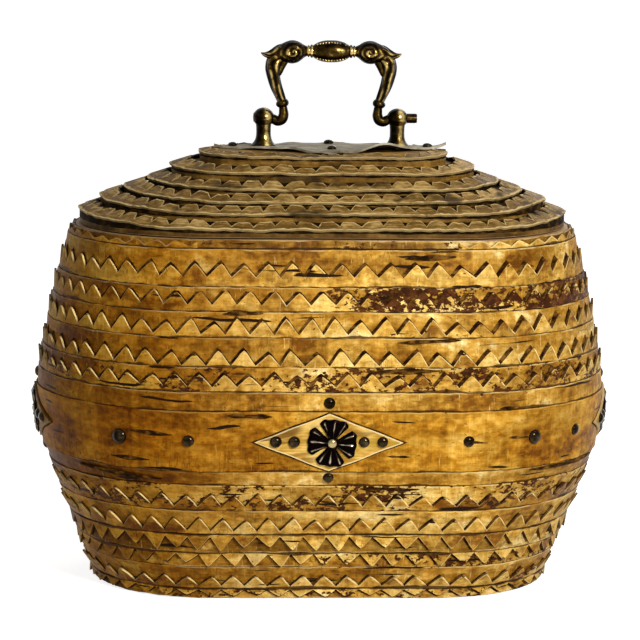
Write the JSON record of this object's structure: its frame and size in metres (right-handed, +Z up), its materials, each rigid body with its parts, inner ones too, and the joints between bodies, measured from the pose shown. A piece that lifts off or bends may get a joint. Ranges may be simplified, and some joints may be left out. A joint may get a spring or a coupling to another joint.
{
  "type": "tramp art box",
  "caption": "Oval bulging wooden box clad in saw-toothed bark strips, with a stepped hinged lid and a cast bail handle, for keeping small things.",
  "frame": {"origin": "centre of the base on the table", "axes": "+Z up, +X along the box's length to the right as seen from the front, front faces -Y, hinges at +Y"},
  "size_m": [0.3318, 0.2078, 0.3078],
  "materials": {
    "wood": "plain bentwood and board",
    "bark": "aged amber birch bark",
    "grey_bark": "weathered grey birch bark",
    "brass": "antique brass, dark in the hollows",
    "iron": "blackened iron"
  },
  "bodies": {
    "root": {"base_board": "wood", "wall": "wood", "mouth_hoop": "wood", "lower_jacket": "bark", "upper_jacket": "bark", "lower_strip_1": "bark", "lower_strip_2": "bark", "lower_strip_3": "bark", "lower_strip_4": "bark", "lower_strip_5": "bark", "lower_strip_6": "bark", "under_band_strip": "bark", "wide_band": "bark", "over_band_strip": "bark", "upper_strip_1": "bark", "upper_strip_2": "bark", "upper_strip_3": "bark", "upper_strip_4": "bark", "upper_strip_5": "bark", "worn_strip": "bark", "front_plaque": "grey_bark", "right_plaque": "grey_bark", "back_plaque": "grey_bark", "left_plaque": "grey_bark", "front_rosette": "iron", "right_rosette": "iron", "back_rosette": "iron", "left_rosette": "iron", "small_nails": "iron", "large_nails": "iron", "hinge_body_leaves": "brass", "hinge_pins": "iron", "hinge_body_screws": "iron"},
    "lid": {"lid_board": "wood", "lid_step_2": "wood", "lid_step_3": "wood", "lid_step_4": "wood", "lid_step_5": "wood", "lid_step_6": "wood", "lid_tread_1": "grey_bark", "lid_tread_2": "grey_bark", "lid_tread_3": "grey_bark", "lid_tread_4": "grey_bark", "lid_tread_5": "grey_bark", "lid_tread_6": "grey_bark", "top_plate": "grey_bark", "top_plate_nails": "iron", "left_post": "brass", "right_post": "brass", "post_nuts": "iron", "hinge_lid_leaves": "brass", "hinge_lid_screws": "iron"},
    "handle": {"bail": "brass"}
  },
  "joints": [
    {"name": "lid_hinge", "type": "hinge", "parent": "root", "child": "lid", "pos_m": [0, 0.0841, 0.2037], "axis": [-1, 0, 0], "range_deg": [0, 105]},
    {"name": "handle_swing", "type": "hinge", "parent": "lid", "child": "handle", "pos_m": [0.004, 0, 0.2634], "axis": [1, 0, 0], "range_deg": [-95, 95]}
  ]
}
